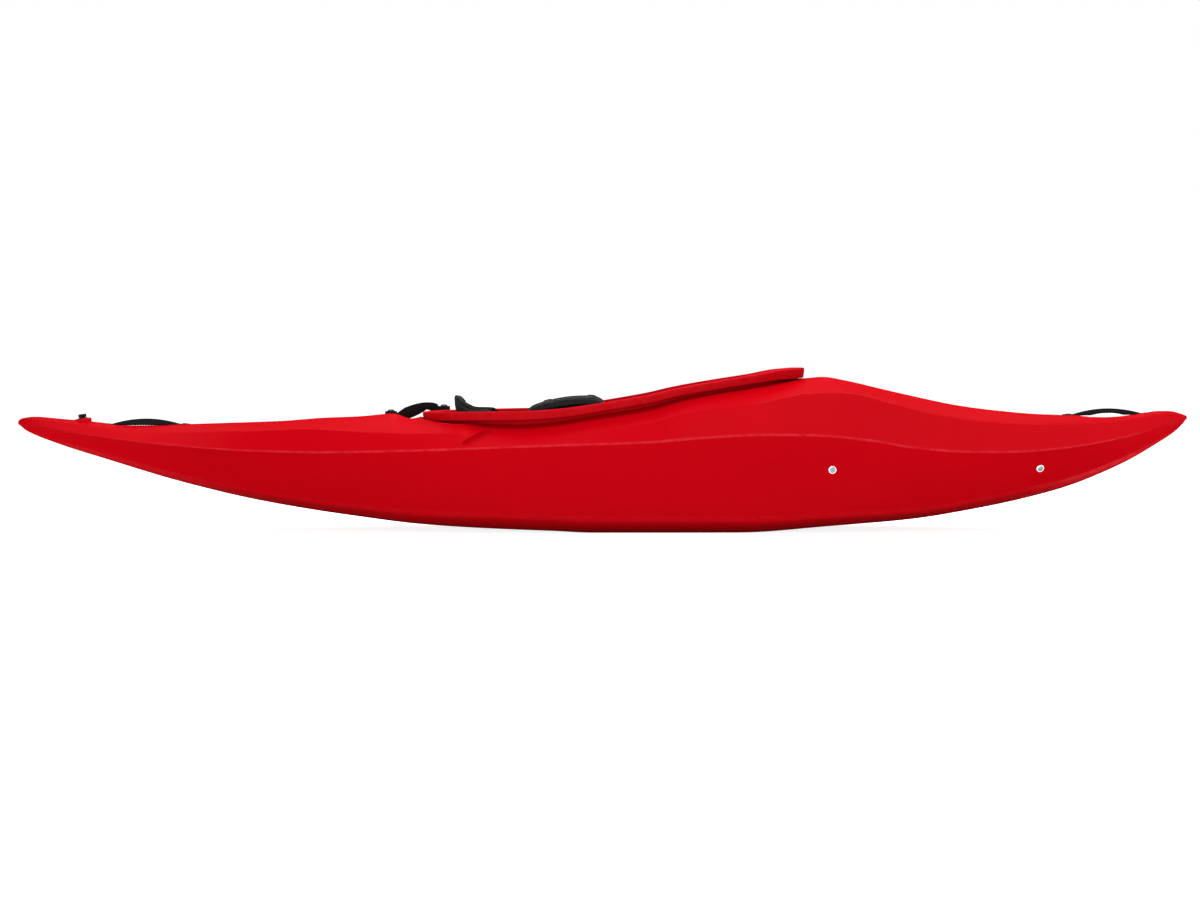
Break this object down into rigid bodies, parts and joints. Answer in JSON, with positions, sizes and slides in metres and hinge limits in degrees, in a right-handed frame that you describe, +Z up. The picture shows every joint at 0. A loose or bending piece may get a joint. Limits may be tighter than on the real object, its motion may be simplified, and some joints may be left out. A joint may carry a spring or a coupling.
{
  "type": "whitewater kayak",
  "caption": "Closed-deck river kayak: one moulded shell with a turned-down coaming, grab handles, security bar, drain plug, sliding seat, tilting backband, thigh braces and foot rest.",
  "frame": {"origin": "on the floor, under the middle of the overall length and beam", "axes": "+X towards the bow, +Y to port, +Z up"},
  "size_m": [2.72, 0.645, 0.3762],
  "materials": {
    "hull": "satin moulded polyethylene",
    "handle": "satin",
    "security_bar": "black anodised",
    "fitting": "moulded nylon",
    "rail": "moulded nylon",
    "seat": "moulded polyethylene",
    "strap": "toothed nylon strip",
    "seal": "soft rubber",
    "pad": "foam under stretch fabric",
    "foam": "closed-cell foam",
    "pillar": "closed-cell foam",
    "hardware": "stainless",
    "dark_hardware": "blackened"
  },
  "bodies": {
    "hull": {"hull_shell": "hull", "bow_handle": "handle", "stern_handle": "handle", "bow_handle_screw_aft": "hardware", "bow_handle_screw_fore": "hardware", "stern_handle_screw_aft": "hardware", "stern_handle_screw_fore": "hardware", "security_bar": "security_bar", "security_bar_bolt_aft": "dark_hardware", "security_bar_bolt_fore": "dark_hardware", "drain_bush": "fitting", "drain_seal": "seal", "seat_track": "seat", "front_pillar": "pillar", "rear_pillar": "pillar", "foot_rail_port": "rail", "thigh_bolt_port_aft": "hardware", "rail_bolt_port_aft": "hardware", "rail_washer_port_aft": "hardware", "thigh_bolt_port_fore": "hardware", "rail_bolt_port_fore": "hardware", "rail_washer_port_fore": "hardware", "foot_rail_starboard": "rail", "thigh_bolt_starboard_aft": "hardware", "rail_bolt_starboard_aft": "hardware", "rail_washer_starboard_aft": "hardware", "thigh_bolt_starboard_fore": "hardware", "rail_bolt_starboard_fore": "hardware", "rail_washer_starboard_fore": "hardware"},
    "drain_plug": {"drain_plug": "fitting"},
    "seat": {"seat_pan": "seat", "seat_pad": "pad", "seat_bolt_aft": "hardware", "seat_bolt_fore": "hardware", "hip_pad_port": "foam", "hip_pad_starboard": "foam", "backband_strap_port": "strap", "backband_rivet_port": "hardware", "ratchet_body_port": "fitting", "ratchet_pin_port": "hardware", "backband_strap_starboard": "strap", "backband_rivet_starboard": "hardware", "ratchet_body_starboard": "fitting", "ratchet_pin_starboard": "hardware"},
    "backband": {"backband": "pad"},
    "ratchet_lever_port": {"ratchet_lever_port": "fitting"},
    "thigh_brace_port": {"thigh_brace_port": "fitting", "thigh_pad_port": "pad"},
    "foot_slider_port": {"foot_slider_port": "fitting", "foot_knob_port": "fitting"},
    "ratchet_lever_starboard": {"ratchet_lever_starboard": "fitting"},
    "thigh_brace_starboard": {"thigh_brace_starboard": "fitting", "thigh_pad_starboard": "pad"},
    "foot_slider_starboard": {"foot_slider_starboard": "fitting", "foot_knob_starboard": "fitting"},
    "foot_plate": {"foot_plate": "fitting", "foot_pad": "foam"}
  },
  "joints": [
    {"name": "drain_plug_turn", "type": "hinge", "parent": "hull", "child": "drain_plug", "pos_m": [-1.20986, 0, 0.25752], "axis": [-0.1392, 0, 0.9903], "continuous": true},
    {"name": "seat_adjust", "type": "slide", "parent": "hull", "child": "seat", "axis": [1, 0, 0], "range_m": [-0.01, 0.025]},
    {"name": "backband_tilt", "type": "hinge", "parent": "seat", "child": "backband", "pos_m": [-0.25788, 0, 0.20599], "axis": [0, 1, 0], "range_deg": [-8, 12]},
    {"name": "ratchet_lever_port_open", "type": "hinge", "parent": "seat", "child": "ratchet_lever_port", "pos_m": [-0.12687, 0.2023, 0.16911], "axis": [0.271, 0, 0.9626], "range_deg": [0, 80]},
    {"name": "ratchet_lever_starboard_open", "type": "hinge", "parent": "seat", "child": "ratchet_lever_starboard", "pos_m": [-0.12687, -0.2023, 0.16911], "axis": [-0.271, 0, -0.9626], "range_deg": [0, 80]},
    {"name": "thigh_brace_port_adjust", "type": "slide", "parent": "hull", "child": "thigh_brace_port", "axis": [1, 0, 0], "range_m": [-0.02, 0.02]},
    {"name": "thigh_brace_starboard_adjust", "type": "slide", "parent": "hull", "child": "thigh_brace_starboard", "axis": [1, 0, 0], "range_m": [-0.02, 0.02]},
    {"name": "foot_rest_adjust", "type": "slide", "parent": "hull", "child": "foot_plate", "axis": [1, 0, 0], "range_m": [-0.075, 0.075]},
    {"name": "foot_slider_port_run", "type": "slide", "parent": "hull", "child": "foot_slider_port", "axis": [0.9693, -0.2458, 0], "range_m": [-0.078, 0.078]},
    {"name": "foot_slider_starboard_run", "type": "slide", "parent": "hull", "child": "foot_slider_starboard", "axis": [0.9693, 0.2458, 0], "range_m": [-0.078, 0.078]}
  ],
  "couplings": [
    {"joint": "foot_slider_port_run", "follows": "foot_rest_adjust", "ratio": 1.0316},
    {"joint": "foot_slider_starboard_run", "follows": "foot_rest_adjust", "ratio": 1.0316}
  ]
}
